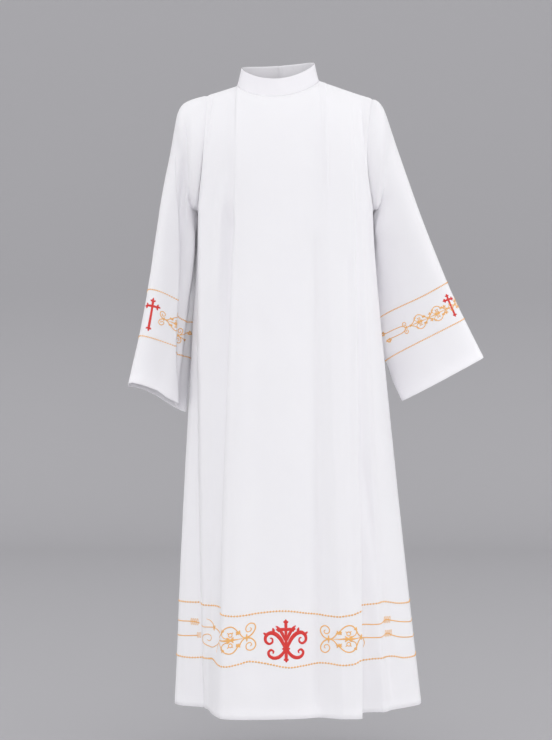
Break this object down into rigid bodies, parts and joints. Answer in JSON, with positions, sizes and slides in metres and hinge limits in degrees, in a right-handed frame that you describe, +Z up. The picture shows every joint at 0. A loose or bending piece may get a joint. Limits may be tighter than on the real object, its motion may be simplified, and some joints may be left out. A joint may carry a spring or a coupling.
{
  "type": "alb robe",
  "caption": "Ankle-length liturgical alb hanging as worn, with a standing collar, wide flared sleeves, a deep side pleat and open neck, cuffs and hem.",
  "frame": {"origin": "middle of the neckline at the height where the shoulders meet the collar, which is where a neck holds the robe", "axes": "+Z up along the robe, the front faces -Y, +X towards the right side as seen from the front"},
  "size_m": [0.8325, 0.3516, 1.5053],
  "materials": {
    "cloth": "smooth matte weave",
    "collar_cloth": "smooth matte weave, folded double over a stiffener",
    "button": "polished"
  },
  "bodies": {
    "root": {"front": "cloth", "back_right": "cloth", "back_left": "cloth", "sleeve_left": "cloth", "sleeve_right": "cloth", "collar": "collar_cloth", "collar_button": "button"}
  },
  "joints": []
}
